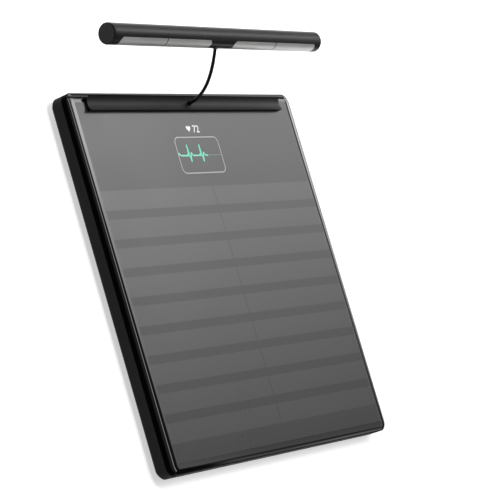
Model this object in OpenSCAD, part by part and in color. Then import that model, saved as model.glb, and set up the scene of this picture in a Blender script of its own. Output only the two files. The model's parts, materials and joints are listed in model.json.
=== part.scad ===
// Smart bathroom scale: a glass platform on four load cells, with a sensing handle on a cord.
// The platform's middle is the local origin of every module, and the floor is at height 0.

/* [Platform] */
// Side of the square platform
plate_w = 327; // [320:1:340]
// Radius of the plate's corners
corner_r = 9; // [9:0.5:12]
// Height of the glass's top above the floor
top_z = 23.5; // [23.5:0.5:26]
// Thickness of the glass
glass_t = 4; // [3.5:0.1:4]
// Width of the rounded rim of the glass
rim_w = 8.9; // [6:0.1:8.9]
// Drop of the rounded rim of the glass
rim_drop = 2.1; // [1.5:0.1:2.4]
// Height of the base's underside above the floor
under_z = 4; // [4:0.5:4.5]
// Height of the matt side wall's lower edge
wall_low_z = 7.2; // [6.5:0.1:8]
// Height of the matt side wall's upper edge
wall_top_z = 17.1; // [17:0.1:17.3]
// How far the side wall draws in under its lower edge
undercut = 3; // [1:0.5:5]

/* [Electrode strips] */
// Number of strips across the glass
strip_count = 9; // [5:1:9]
// Width of a strip, front to back
strip_w = 17.2; // [12:0.1:19]
// Distance from one strip to the next
strip_pitch = 24.8; // [22:0.1:25]
// Place of the rearmost strip's rear edge
strip_rear_y = 77.1; // [70:0.1:78]
// Length of a row of strips, left to right
strip_len = 309; // [280:1:309]
// Place of the seam between left and right halves
seam_x = 2.5; // [-5:0.5:5]
// Width of the seam
seam_w = 1.4; // [1:0.1:4]

/* [Dock] */
// Length of the raised dock bar
dock_len = 281; // [240:1:290]
// Width of the dock bar
dock_w = 12.4; // [11:0.1:12.6]
// Height of the cradle's lowest line above the glass
cradle_z = 2; // [1.8:0.1:3]
// Place of the dock's middle line
dock_y = 152.55; // [150:0.05:153]

/* [Handle] */
// Diameter of the handle bar
handle_d = 18.5; // [18:0.1:19]
// Length of the handle bar with its caps
handle_len = 305.6; // [290:0.2:315]
// Place of the lifted handle's axis behind the platform's middle
handle_y = 196; // [190:1:200]
// Height of the lifted handle's axis above the glass
handle_up = 49.65; // [45:0.05:52]
// Turn of the lifted handle away from its docked position
handle_turn = 62; // [50:1:70]
// Place of an electrode pair's inner end, from the middle
pair_start = 17; // [12:1:25]
// Place of an electrode pair's outer end, from the middle
pair_end = 143; // [135:1:145]
// Half of the angle that an electrode wraps
wrap = 82; // [60:1:86]

/* [Cord and reel] */
// Diameter of the cord
cord_d = 3; // [2.8:0.1:3.1]
// Radius of the wound cord's middle line
wind_r = 28; // [26:0.5:28]
// Turns of cord in the outer layer on the drum
wind_turns = 1.5; // [1:0.25:1.5]
// Distance between neighbouring turns
wind_pitch = 3.45; // [3.4:0.05:3.5]
// Place of the reel's axle, front to back
reel_y = 30; // [28:1:32]
// Bend radius of the cord's middle line on the guide pulley
guide_r = 3.9; // [3.8:0.1:4]
// Height of the cord's level run inside the base
run_z = 9.75; // [9.7:0.05:9.8]

/* [Feet and load cells] */
// Distance of a foot's middle from the platform's middle lines
foot_at = 128; // [125:1:130]
// Radius of a foot
foot_r = 17; // [15:0.5:17]
// Thickness of a rubber pad
pad_t = 1.4; // [1:0.1:2]
// Side of a load cell's steel frame
cell_w = 34; // [32:1:35]

/* [Setup button] */
// Radius of the button
button_r = 3; // [2.5:0.1:3.2]
// Travel of the button
button_travel = 0.8; // [0.4:0.1:0.8]
// Place of the button along the rear wall
button_x = 112; // [108:1:114]
// Place of the charging port along the rear wall
port_x = 92; // [88:1:94]

/* [Hidden] */

// Fineness of round surfaces
fine = 64;

handle_r = handle_d / 2;
cord_r = cord_d / 2;
// The whole object's box is centred on the frame's origin, so the platform sits a little in front of it
plate_y = -(handle_y + handle_r - plate_w / 2) / 2;

// Levels in the stack
glass_z = top_z - glass_t;
tape_t = 0.3;
frame_top_z = glass_z - tape_t;
floor_t = 2;
floor_z = under_z + floor_t;
tray_wall = 2.5;
tray_r = corner_r;
frame_inset = 0.3;
// Section of the rim: shares of its width, from outside, and of its drop
rim_section = [
    [0, 1], [0.034, 0.76], [0.08, 0.62], [0.146, 0.495], [0.258, 0.335], [0.36, 0.225],
    [0.46, 0.145], [0.6, 0.078], [0.73, 0.038], [0.876, 0.013], [1, 0]
];
frame_ring = 8.2;
beam_x = 75;
beam_rear_y = 72;
beam_front_y = -40;
beam_w = 12;
rib_t = 1.6;

// Screws that hold the mid frame on the tray
boss_r = 4;
boss_at = [[-150, -60], [-150, 60], [150, -60], [150, 60], [-60, -150], [60, -150], [-60, 148], [60, 148]];
screw_r = 1.2;
screw_head_r = 2.6;
screw_head_h = 1.6;
screw_sink = 5;

// Strips, flush in the glass
strip_t = 0.2;
// Hole for the cord in dock and glass
outlet_r = 3.2;
outlet_low_r = 2.6;
outlet_top = cradle_z - 0.1;
bore_gap = 0.15;

// Handle
cradle_gap = 0.2;
cradle_r = handle_r + cradle_gap;
tube_wall = 1.65;
shell_t = 0.5;
pair_seam = 1.2;
pocket_gap = 0.15;
shell_round = 4;
cap_t = 3;
cap_round = 1.4;
cap_groove = 0.35;
plug_len = 7;
boot_r = 2.7;
boot_proud = 0.15;
barrel_at = 2.6;
barrel_r = 2;
barrel_len = 9;
core_len = 268;

// Guide pulley under the outlet
pulley_y = dock_y - guide_r;
pulley_z = run_z + guide_r;
pulley_rim_r = guide_r + cord_r - 0.1;
pulley_w = 4.4;
pin_r = 1.5;
shaft_gap = 0.05;
cheek_x = 2.6;
cheek_t = 1.6;

// Reel
reel_x = wind_r;
core_r = wind_r - cord_r - 0.35;
flange_r = wind_r + cord_r + 1.8;
case_r = flange_r + 1.5;
case_wall = 1.5;
case_floor = 1;
case_top_z = 18.2;
cover_t = 0.8;
drum_low_z = floor_z + case_floor + 0.3;
flange_t = 0.8;
drum_top_z = case_top_z - 0.3;
axle_r = 4;
axle_neck_r = 3;
hub_top_z = drum_low_z + 2;
cup_r = 23.5;
spring_t = 0.6;
spring_turns = 5;
spring_low_z = 10;
spring_h = 6;

// Feet
foot_low_z = pad_t;
foot_top_z = 6.5;
stem_r = 4;
pad_r = 15.5;
cell_z = 9.6;
cell_t = 2.5;
bracket_w = 40;
corners = [[-1, -1], [1, -1], [-1, 1], [1, 1]];

// Boards
board_t = 1.6;
board_z = 8.5;
board_x = -41;
board_y = 14;
board_w = 58;
board_d = 86;
tail_x = -64;
tail_y = 2;
tail_w = 10;
film_socket_h = 2;
lead_socket_h = 3.4;
display_y = 105.85;
display_w = 78;
display_d = 46;
display_t = 3;
battery_y = -92;
battery_w = 100;
battery_d = 56;
battery_t = 7;
rear_in = plate_w / 2 - tray_wall;
side_board_y = 153.6;
side_board_d = 10;
side_board_z = 9.4;
port_z = 11.4;
button_z = 12;
switch_face_y = rear_in - 3.4;
collar_t = 1.2;
collar_y = rear_in - collar_t - 0.1;
plunger_r = 1.3;
plunger_in = 1.4;
lead_r = 0.8;
lead_z = 7.2;

// Way of the free cord, from the dock's outlet to the handle: [y, height above the glass]
cord_route = [
    [152.55, 1.9], [152.8, 5.8], [153.4, 9.7], [154.5, 13.5], [156.0, 17.1], [157.8, 20.6],
    [160.0, 23.8], [162.5, 26.9], [165.2, 29.7], [168.2, 32.4], [171.2, 34.9], [174.4, 37.2],
    [177.6, 39.4], [181.0, 41.4], [184.3, 43.4]
];
// Ways of the load cells' leads to the main board
lead_routes = [
    [[-107, -128], [-92, -118], [-90, -100], [-90, -16], [-84, -10], [-72, -10]],
    [[107, -128], [90, -134], [60, -136], [-50, -136], [-56, -126], [-56, -44], [-56, -31]],
    [[-107, 128], [-96, 118], [-94, 96], [-92, 34], [-84, 28], [-72, 28]],
    [[107, 128], [96, 118], [94, 84], [86, 67.5], [70, 67.5], [-20, 67.5], [-27, 65], [-27, 59]]
];
// Sockets of the leads on the board
lead_sockets = [[-66, -10], [-56, -25], [-66, 28], [-27, 53]];
// Gaps in the tall ribs where leads and the cord pass
rib_gaps = [[-beam_x, -10], [-beam_x, 28], [beam_x, -135], [beam_x, 67.5],
    [-90, beam_front_y], [-56, beam_front_y], [20, beam_front_y],
    [-93, beam_rear_y], [88.5, beam_rear_y], [0, beam_rear_y]];

// Where the cord ends on the handle
exit_y = handle_y - (handle_r + boot_proud) * sin(handle_turn);
exit_up = handle_up - (handle_r + boot_proud) * cos(handle_turn);
cord_points = concat(
    [for (p = cord_route) [0, p[0], top_z + p[1]]],
    [[0, exit_y, top_z + exit_up]]
);

// Vectors along a path and rings around it
function unit(v) = v / norm(v);
function along(path, i) =
    let (n = len(path) - 1)
    i == 0 ? unit(path[1] - path[0]) :
    i == n ? unit(path[n] - path[n - 1]) :
    unit(unit(path[i + 1] - path[i]) + unit(path[i] - path[i - 1]));
function ring(centre, way, side, r, sides) =
    let (a = unit(cross(way, side)), b = cross(way, a))
    [for (k = [0 : sides - 1]) centre + r * (cos(360 * k / sides) * a + sin(360 * k / sides) * b)];

// A closed tube of one radius along a path. side is a vector that the path never runs along
module tube(path, r, sides, side, first_way, last_way) {
    n = len(path);
    ways = [for (i = [0 : n - 1])
        i == 0 && first_way != undef ? first_way :
        i == n - 1 && last_way != undef ? last_way : along(path, i)];
    rings = [for (i = [0 : n - 1]) each ring(path[i], ways[i], side, r, sides)];
    walls = [for (i = [0 : n - 2], k = [0 : sides - 1])
        let (m = (k + 1) % sides)
        each [[(i + 1) * sides + m, i * sides + m, i * sides + k],
              [(i + 1) * sides + k, (i + 1) * sides + m, i * sides + k]]];
    polyhedron(rings, concat(
        [[for (k = [0 : sides - 1]) k]],
        walls,
        [[for (k = [sides - 1 : -1 : 0]) (n - 1) * sides + k]]
    ));
}

// The platform's place in the frame
module at_platform() {
    translate([0, plate_y, 0]) children();
}

// Outline of a square with round corners
module round_square(w, d, r) {
    square([w - 2 * r, d], center = true);
    square([w, d - 2 * r], center = true);
    for (c = corners)
        translate([c[0] * (w / 2 - r), c[1] * (d / 2 - r)]) circle(r, $fn = fine);
}

module slab(w, d, r, low, high) {
    translate([0, 0, low]) linear_extrude(high - low) round_square(w, d, r);
}

// A square slab whose edge has a profile: points are [distance from the corner's centre, height]
module edged_slab(w, r, profile) {
    low = profile[0][1];
    high = profile[len(profile) - 1][1];
    translate([0, 0, low]) linear_extrude(high - low) square(w - 2 * r, center = true);
    for (i = [0 : 3]) rotate(90 * i) {
        translate([w / 2 - r, w / 2 - r]) rotate_extrude(angle = 90, $fn = fine) polygon(profile);
        translate([w / 2 - r, 0]) rotate([90, 0, 0])
            linear_extrude(w - 2 * r, center = true) polygon(profile);
    }
}

module at_corner(c) {
    translate([c[0] * foot_at, c[1] * foot_at]) children();
}

// Matt lower shell
module tray_outside() {
    edged_slab(plate_w, tray_r, [
        [0, under_z], [tray_r - undercut, under_z], [tray_r - 0.8, wall_low_z - 1],
        [tray_r, wall_low_z], [tray_r, wall_top_z], [0, wall_top_z]
    ]);
}

module tall_ribs() {
    h = wall_top_z - floor_z + 0.5;
    for (s = [-1, 1])
        translate([s * beam_x - rib_t / 2, -rear_in - 1, floor_z - 0.5]) cube([rib_t, 2 * rear_in + 2, h]);
    for (y = [beam_front_y, beam_rear_y])
        translate([-rear_in - 1, y - rib_t / 2, floor_z - 0.5]) cube([2 * rear_in + 2, rib_t, h]);
}

module base_tray() {
    well_r = 28;
    panel_w = 196;
    panel_depth = 0.6;
    gap_w = 5;
    gap_h = 5.6;
    color("#2b2b2d") at_platform() difference() {
        union() {
            difference() {
                tray_outside();
                slab(2 * rear_in, 2 * rear_in, tray_r - tray_wall, floor_z, wall_top_z + 1);
                slab(panel_w, panel_w, 12, under_z - 1, under_z + panel_depth);
            }
            difference() {
                tall_ribs();
                for (g = rib_gaps)
                    translate([g[0] - gap_w / 2, g[1] - gap_w / 2, floor_z]) cube([gap_w, gap_w, gap_h]);
                translate([-46, beam_rear_y - gap_w / 2, 14]) cube([26, gap_w, 4]);
                for (c = corners) at_corner(c)
                    translate([0, 0, floor_z]) cylinder(h = 12, r = well_r, $fn = fine);
            }
            for (b = boss_at)
                translate([b[0], b[1], floor_z - 0.5])
                    cylinder(h = wall_top_z - floor_z + 0.5, r = boss_r, $fn = 32);
            for (b = board_bosses)
                translate([b[0], b[1], floor_z - 0.5]) cylinder(h = board_z - floor_z + 0.5, r = 3, $fn = 32);
            for (x = [port_x - 8, button_x + 5])
                translate([x, side_board_y - 2, floor_z - 0.5])
                    cube([3, 4, side_board_z - board_t - floor_z + 0.5]);
        }
        for (c = corners) at_corner(c)
            translate([0, 0, under_z - 1]) cylinder(h = 4, r = foot_r + 1.2, $fn = fine);
        for (b = boss_at) translate([b[0], b[1], 0]) {
            cylinder(h = under_z + screw_sink, r = screw_head_r + 0.4, $fn = 32);
            cylinder(h = top_z, r = screw_r + 0.3, $fn = 32);
        }
        for (b = board_bosses)
            translate([b[0], b[1], floor_z]) cylinder(h = 5, r = screw_r, $fn = 24);
        translate([button_x, rear_in - 1, button_z]) rotate([-90, 0, 0])
            cylinder(h = tray_wall + 2, r = button_r + 0.2, $fn = 40);
        translate([port_x, rear_in - 1, port_z]) rotate([-90, 0, 0])
            linear_extrude(tray_wall + 2) round_square(9.4, 3.6, 1.7);
    }
}

board_bosses = [for (sx = [-1, 1], sy = [-1, 1])
    [board_x + sx * (board_w / 2 - 5), board_y + sy * (board_d / 2 - 5)]];

// Gloss black frame that carries the glass
module frame_outline() {
    ring_out = plate_w - 2 * frame_inset;
    ring_in = plate_w - 2 * frame_ring;
    difference() {
        round_square(ring_out, ring_out, corner_r - frame_inset);
        round_square(ring_in, ring_in, corner_r);
    }
    for (s = [-1, 1]) translate([s * beam_x, 0]) square([beam_w, ring_in + 2], center = true);
    for (y = [beam_front_y, beam_rear_y]) translate([0, y]) square([ring_in + 2, beam_w], center = true);
    for (c = corners) at_corner(c) square(bracket_w + 20, center = true);
    for (b = boss_at) {
        out = abs(b[0]) > abs(b[1]) ? [sign(b[0]), 0] : [0, sign(b[1])];
        translate(b) circle(boss_r + 1, $fn = 32);
        translate(b + boss_r * out) square(2 * (boss_r + 1), center = true);
    }
}

module mid_frame() {
    color("#08080a") at_platform() difference() {
        translate([0, 0, wall_top_z]) linear_extrude(frame_top_z - wall_top_z) frame_outline();
        for (b = boss_at)
            translate([b[0], b[1], wall_top_z - 1]) cylinder(h = 2.6, r = screw_r, $fn = 32);
    }
}

module glass_tape() {
    outer_in = 1.5;
    inner_in = 7;
    color("#303030") at_platform() translate([0, 0, frame_top_z]) linear_extrude(tape_t) {
        difference() {
            round_square(plate_w - 2 * outer_in, plate_w - 2 * outer_in, corner_r - outer_in);
            round_square(plate_w - 2 * inner_in, plate_w - 2 * inner_in, corner_r - inner_in);
        }
        for (s = [-1, 1], y = [-100, 44, 112]) translate([s * beam_x, y]) square([8, 40], center = true);
    }
}

// Outline of all strips on one side of the seam
module strips(side) {
    half = strip_len / 2;
    inner = seam_x + side * seam_w / 2;
    outer = side * half;
    for (i = [0 : strip_count - 1])
        translate([min(inner, outer), strip_rear_y - i * strip_pitch - strip_w])
            square([abs(outer - inner), strip_w]);
}

// The glass with its pillowed rim, before anything is cut into it
module glass_outside() {
    rim = [for (p = rim_section) [corner_r - rim_w * p[0], top_z - rim_drop * p[1]]];
    edged_slab(plate_w, corner_r, concat([[0, glass_z], [corner_r, glass_z]], rim, [[0, top_z]]));
}

module glass_plate() {
    color("#17171a") at_platform() difference() {
        glass_outside();
        translate([0, 0, top_z - strip_t]) linear_extrude(1) strips(-1);
        translate([0, 0, top_z - strip_t]) linear_extrude(1) strips(1);
        translate([0, dock_y, glass_z - 1]) cylinder(h = glass_t + 2, r = outlet_low_r, $fn = 40);
    }
}

module electrodes_left() {
    color("#45464a") at_platform() translate([0, 0, top_z - strip_t]) linear_extrude(strip_t) strips(-1);
}

module electrodes_right() {
    color("#3a3b3f") at_platform() translate([0, 0, top_z - strip_t]) linear_extrude(strip_t) strips(1);
}

// Thin film under the glass that gathers the strips, with a tail down to the main board
module electrode_flex() {
    film = 0.2;
    socket_z = board_z + board_t + film_socket_h;
    color("#b5722c") at_platform() {
        translate([-152, -136, glass_z - film]) cube([12, 208, film]);
        translate([-152, tail_y, glass_z - film]) cube([152 + tail_x, tail_w, film]);
        translate([tail_x - film, tail_y, socket_z]) cube([film, tail_w, glass_z - socket_z]);
    }
}

// Raised bar with a long concave cradle, on the glass's rear edge
module handle_dock() {
    // How far the bar's rear edge may follow the glass's rim downwards
    skirt = 0.6;
    lips = 5;
    color("#3a3a3c") at_platform() translate([0, dock_y, 0]) difference() {
        intersection() {
            slab(dock_len, dock_w, 1.2, top_z - skirt, top_z + lips + 1);
            rotate([90, 0, 90]) linear_extrude(dock_len, center = true) difference() {
                translate([-dock_w / 2, top_z - skirt]) square([dock_w, lips + skirt]);
                translate([0, top_z + cradle_z + cradle_r]) circle(cradle_r, $fn = 128);
            }
        }
        translate([0, -dock_y, 0]) glass_outside();
        translate([0, 0, top_z - 1]) cylinder(h = 8, r = outlet_r, $fn = 40);
    }
}

// Bush that lines the cord's outlet, with a flared mouth
module cord_grommet() {
    bore = cord_r + bore_gap;
    color("#101010") at_platform() translate([0, dock_y, 0]) rotate_extrude($fn = 48) polygon([
        [bore, glass_z + 0.2], [bore + 0.5, glass_z - 0.3], [outlet_low_r, glass_z - 0.3],
        [outlet_low_r, top_z], [outlet_r, top_z], [outlet_r, top_z + outlet_top],
        [bore + 0.9, top_z + outlet_top], [bore + 0.3, top_z + outlet_top - 0.3],
        [bore, top_z + outlet_top - 1]
    ]);
}

// Display panel under the glass: frame, panel and light guide steps
module display_module() {
    top = glass_z - 0.2;
    color("#0c1a17") at_platform() translate([0, display_y, 0]) difference() {
        union() {
            slab(display_w, display_d, 3, top - display_t, top - 0.6);
            slab(display_w - 5, display_d - 5, 2, top - 1, top);
        }
        translate([-30, -display_d / 2 - 1, top - display_t - 1]) cube([22, 6, 1.8]);
    }
}

module display_flex() {
    ribbon = 0.3;
    w = 18;
    z = glass_z - 0.2 - display_t - ribbon;
    y_end = 50;
    color("#b5722c") at_platform() translate([-42, 0, 0]) {
        translate([0, y_end, z]) cube([w, display_y - display_d / 2 + 8 - y_end, ribbon]);
        translate([0, y_end, board_z + board_t + 1.5]) cube([w, ribbon, z - board_z - board_t - 1.5 + 0.1]);
    }
}

// Board with a screened radio part, processor, measuring chips and sockets
module main_board() {
    top = board_z + board_t;
    color("#0f4d33") at_platform() translate([board_x, board_y, 0]) difference() {
        union() {
            slab(board_w, board_d, 3, board_z, top);
            translate([-6, -34, top - 0.1]) cube([20, 15, 2.6]);
            translate([-20, -8, top - 0.1]) cube([10, 10, 1.4]);
            for (i = [0 : 2]) translate([2 + 9 * i, -10, top - 0.1]) cube([5, 5, 1.2]);
            translate([-1.2, 35.5, top - 0.1]) cube([18.4, 5, 1.6]);
            translate([tail_x - 1.6 - board_x, tail_y - 1 - board_y, top - 0.1])
                cube([3, tail_w + 2, film_socket_h + 0.1]);
            for (s = lead_sockets) translate([s[0] - 2.5 - board_x, s[1] - 2.5 - board_y, top - 0.1])
                cube([5, 5, lead_socket_h + 0.1]);
            for (i = [0 : 5]) translate([-14 + 6 * i, 10, top - 0.1]) cube([3, 1.6, 1]);
            translate([14, 18, top - 0.1]) cylinder(h = 3, r = 4, $fn = 32);
        }
        for (b = board_bosses) translate([b[0] - board_x, b[1] - board_y, board_z - 1])
            cylinder(h = 4, r = screw_r + 0.2, $fn = 24);
    }
}

module battery_pack() {
    color("#3c5a8c") at_platform() translate([0, battery_y, 0]) {
        slab(battery_w, battery_d, 3, floor_z + 0.3, floor_z + 0.3 + battery_t);
        translate([-battery_w / 2 + 6, battery_d / 2 - 1, floor_z + 2]) cube([26, 4, 3]);
    }
}

module battery_lead() {
    z = 8;
    edge_y = board_y - board_d / 2;
    edge_z = board_z + board_t / 2;
    color("#a02020") at_platform()
        tube([
            [-31, battery_y + 31, z], [-31, -58, z], [-27, -52, z], [-20, -48, z], [14, -48, z],
            [20, -44, z], [20, -37, z], [14, -34.5, z], [-14, -34.5, edge_z - 0.4],
            [-20, edge_y - 2.5, edge_z], [-20, edge_y, edge_z]
        ], 0.9, 8, [0.1, 0.2, 1], first_way = [0, 1, 0], last_way = [0, 1, 0]);
}

// Small board on the rear wall with port and switch
module side_board() {
    color("#0f4d33") at_platform()
        translate([port_x - 10, side_board_y - side_board_d / 2, side_board_z - board_t])
            cube([button_x - port_x + 20, side_board_d, board_t]);
}

// Metal shell of the charging socket with its tongue
module charging_port() {
    h = 3.2;
    w = 9;
    depth = 7.6;
    color("#9a9da1") at_platform() translate([port_x, rear_in + 1.2, port_z]) rotate([90, 0, 0]) {
        difference() {
            linear_extrude(depth) round_square(w, h, 1.5);
            translate([0, 0, -1]) linear_extrude(depth) round_square(w - 0.6, h - 0.6, 1.2);
        }
        translate([-3.4, -0.35, 2]) cube([6.8, 0.7, depth - 2.5]);
    }
    color("#9a9da1") at_platform() translate([port_x - 3, rear_in - 6.2, side_board_z])
        cube([6, 5, port_z - side_board_z - h / 2 + 0.1]);
}

module button_switch() {
    color("#1c1c1e") at_platform() difference() {
        translate([button_x - 3, switch_face_y - 3.6, side_board_z]) cube([6, 3.6, 5.2]);
        translate([button_x, switch_face_y - plunger_in - 1, button_z]) rotate([-90, 0, 0])
            cylinder(h = 4, r = plunger_r + 0.2, $fn = 32);
    }
}

// Steel frame with a tongue that bends under the foot
module load_cell(c) {
    slot = 1.8;
    tongue = 13;
    inner = cell_w - 10;
    color("#b9bcc0") at_platform() at_corner(c)
    translate([0, 0, cell_z]) linear_extrude(cell_t) difference() {
        round_square(cell_w, cell_w, 2);
        difference() {
            square(inner, center = true);
            translate([-tongue / 2, -inner / 2 - 1]) square([tongue, inner - slot + 1]);
            translate([-inner / 2 + slot, -inner / 2 - 1]) square([inner - 2 * slot, 5]);
        }
        for (s = [-1, 1]) translate([s * (cell_w / 2 - 2.5), 0]) circle(1.1, $fn = 24);
    }
}

// Plastic brackets that press the cells' frames down onto the feet
module cell_brackets() {
    color("#242426") at_platform() for (c = corners) at_corner(c) difference() {
        slab(bracket_w, bracket_w, 4, cell_z - 0.6, wall_top_z);
        slab(cell_w + 0.2, cell_w + 0.2, 2.1, cell_z - 1, cell_z + cell_t);
        translate([0, 0, cell_z]) cylinder(h = cell_t + 1.6, r = 11, $fn = 48);
        translate([-c[0] * 18 - 4, -3, cell_z - 1]) cube([8, 6, 2.4]);
    }
}

module cell_leads() {
    in = [13, 17];
    color("#c8c8c8") at_platform() for (i = [0 : 3])
        let (
            r = lead_routes[i],
            c = [sign(r[0][0]), sign(r[0][1])],
            end = r[len(r) - 1],
            way = unit(lead_sockets[i] - end),
            top = board_z + board_t + 2
        )
        tube(concat(
            [for (k = [0, 1]) [c[0] * (foot_at - in[k]), r[0][1], cell_z - lead_r - 0.6 * k]],
            [for (p = r) [p[0], p[1], lead_z]],
            [[end[0] + way[0] * 2, end[1] + way[1] * 2, top],
             [lead_sockets[i][0] - way[0] * 2.5, lead_sockets[i][1] - way[1] * 2.5, top]]
        ), lead_r, 8, [0.1, 0.2, 1]);
}

// Foot: a dished cup on a stem that carries the tongue
module foot(c) {
    color("#1d1d1f") at_platform() at_corner(c) rotate_extrude($fn = fine) polygon([
        [0, foot_low_z], [pad_r, foot_low_z], [pad_r, foot_low_z - 0.6], [foot_r - 0.8, foot_low_z - 0.6],
        [foot_r, foot_low_z + 0.6], [foot_r, foot_top_z - 0.8], [foot_r - 0.8, foot_top_z],
        [12, foot_top_z], [11, foot_top_z - 1.6], [stem_r + 1.5, foot_top_z - 1.6],
        [stem_r, foot_top_z - 0.4], [stem_r, cell_z - 0.6], [stem_r - 0.8, cell_z], [0, cell_z]
    ]);
}

module foot_pad(c) {
    color("#4a4a4c") at_platform() at_corner(c) rotate_extrude($fn = fine) polygon([
        [0, 0], [pad_r - 0.7, 0], [pad_r, 0.5], [pad_r, pad_t], [0, pad_t]
    ]);
}

module reel_place() {
    at_platform() translate([reel_x, reel_y, 0]) children();
}

// Round case with a mouth where the cord runs in
module reel_case() {
    color("#2e2e30") reel_place() difference() {
        union() {
            translate([0, 0, floor_z]) cylinder(h = case_top_z - floor_z, r = case_r + case_wall, $fn = 96);
            for (a = [30, 150, 270]) rotate(a) translate([case_r + 3, 0, floor_z])
                cylinder(h = 4, r = 3.5, $fn = 32);
        }
        translate([0, 0, floor_z + case_floor]) cylinder(h = 20, r = case_r, $fn = 96);
        translate([0, 0, floor_z - 1]) cylinder(h = 4, r = axle_neck_r, $fn = 40);
        translate([-reel_x - 2, 0, run_z - 1.8]) cube([4, case_r + 5, 3.6]);
        for (a = [30, 150, 270]) rotate(a) translate([case_r + 4, 0, floor_z - 1])
            cylinder(h = 8, r = screw_r, $fn = 24);
    }
}

module reel_cover() {
    color("#3a3a3e") reel_place() difference() {
        translate([0, 0, case_top_z]) cylinder(h = cover_t, r = case_r + case_wall, $fn = 96);
        translate([0, 0, case_top_z - 1]) cylinder(h = 4, r = axle_neck_r, $fn = 40);
        for (a = [0 : 60 : 300]) rotate(a)
            translate([18, 0, case_top_z - 1]) cylinder(h = 4, r = 3.5, $fn = 32);
    }
}

module reel_axle() {
    color("#a8abb0") reel_place() rotate_extrude($fn = 48) polygon([
        [0, floor_z], [axle_neck_r, floor_z], [axle_neck_r, floor_z + case_floor],
        [axle_r, floor_z + case_floor], [axle_r, hub_top_z + 0.3], [axle_neck_r, hub_top_z + 0.3],
        [axle_neck_r, case_top_z + cover_t], [0, case_top_z + cover_t]
    ]);
}

module reel_drum() {
    color("#5a5d63") reel_place() rotate_extrude($fn = 96) polygon([
        [axle_r + shaft_gap, drum_low_z], [flange_r, drum_low_z], [flange_r, drum_low_z + flange_t - 0.2],
        [core_r, drum_low_z + flange_t], [core_r, drum_top_z - flange_t],
        [flange_r, drum_top_z - flange_t + 0.2], [flange_r, drum_top_z], [cup_r, drum_top_z],
        [cup_r, hub_top_z], [axle_r + shaft_gap, hub_top_z]
    ]);
}

// Flat spiral spring between axle and drum
module reel_spring() {
    low_r = axle_neck_r;
    high_r = cup_r - 0.5;
    steps = 24 * spring_turns;
    rise = high_r - low_r - spring_t;
    mid = [for (i = [0 : steps]) [360 * spring_turns * i / steps, low_r + spring_t / 2 + rise * i / steps]];
    color("#8d9096") reel_place() translate([0, 0, spring_low_z]) linear_extrude(spring_h) polygon(concat(
        [for (m = mid) (m[1] + spring_t / 2) * [cos(m[0]), sin(m[0])]],
        [for (i = [steps : -1 : 0]) (mid[i][1] - spring_t / 2) * [cos(mid[i][0]), sin(mid[i][0])]]
    ));
}

// Cord wound on the drum: a straight start that meets the run, then the outer layer's turns
wind_steps = 24;
wind_path = concat(
    [[-wind_r, cord_d, run_z]],
    [for (i = [0 : wind_turns * wind_steps])
        let (a = 180 + 360 * i / wind_steps)
        [wind_r * cos(a), wind_r * sin(a), run_z + wind_pitch * i / wind_steps]]
);
wind_last = len(wind_path) - 1;
wind_half = wind_steps / 2;
wind_gap = min([for (i = [1 : wind_last - wind_half], j = [i + wind_half : wind_last])
    norm(wind_path[i] - wind_path[j])]) - cord_d;
echo(least_gap_between_turns = wind_gap);

module reel_winding() {
    color("#141414") reel_place() tube(wind_path, cord_r, 6, [0, 0, 1], first_way = [0, -1, 0]);
}

module pulley_place() {
    at_platform() translate([0, pulley_y, pulley_z]) rotate([0, 90, 0]) children();
}

// Grooved roller that turns the cord from upright to level
module guide_pulley() {
    groove = cord_r + 0.1;
    arc = [for (k = [-2 : 2]) [guide_r - groove * cos(38 * k), groove * sin(38 * k)]];
    color("#d0d0d0") pulley_place() rotate_extrude($fn = 64) polygon(concat(
        [[pin_r + shaft_gap, -pulley_w / 2], [pulley_rim_r, -pulley_w / 2], [pulley_rim_r, -groove - 0.3]],
        arc,
        [[pulley_rim_r, groove + 0.3], [pulley_rim_r, pulley_w / 2], [pin_r + shaft_gap, pulley_w / 2]]
    ));
}

module pulley_pin() {
    half = cheek_x + cheek_t + 0.4;
    color("#a8abb0") pulley_place() translate([0, 0, -half]) cylinder(h = 2 * half, r = pin_r, $fn = 40);
}

module pulley_bracket() {
    color("#2e2e30") at_platform() difference() {
        union() {
            for (s = [-1, 1]) translate([s * (cheek_x + cheek_t / 2), pulley_y, 0]) {
                translate([-cheek_t / 2, -4.5, floor_z]) cube([cheek_t, 9, pulley_z - floor_z]);
                translate([0, 0, pulley_z]) rotate([0, 90, 0])
                    cylinder(h = cheek_t, r = 4.5, center = true, $fn = 48);
            }
            for (s = [-1, 1]) translate([s * 8, pulley_y, floor_z + 0.7]) cube([9, 9, 1.4], center = true);
            translate([0, pulley_y, floor_z + 0.5]) cube([10, 9, 1], center = true);
        }
        translate([0, pulley_y, pulley_z]) rotate([0, 90, 0])
            cylinder(h = 20, r = pin_r, center = true, $fn = 40);
        for (s = [-1, 1]) translate([s * 9, pulley_y, floor_z - 1]) cylinder(h = 6, r = screw_r, $fn = 24);
    }
}

// Cord inside the base: down the outlet, a quarter turn round the pulley, level to the reel
module inner_cord() {
    color("#141414") at_platform() {
        translate([0, dock_y, pulley_z]) cylinder(h = top_z + outlet_top - pulley_z, r = cord_r, $fn = 24);
        translate([0, pulley_y, pulley_z]) rotate([0, 90, 0]) rotate_extrude(angle = 90, $fn = 48)
            translate([guide_r, 0]) circle(cord_r, $fn = 24);
        translate([0, pulley_y, run_z]) rotate([90, 0, 0])
            cylinder(h = pulley_y - reel_y - cord_d, r = cord_r, $fn = 24);
    }
}

module screw(length, head_r, head_h, r) {
    difference() {
        union() {
            cylinder(h = head_h, r = head_r, $fn = 32);
            cylinder(h = length, r = r, $fn = 24);
        }
        translate([0, 0, -1]) cylinder(h = 1.8, r = 1.2, $fn = 6);
    }
}

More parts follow.
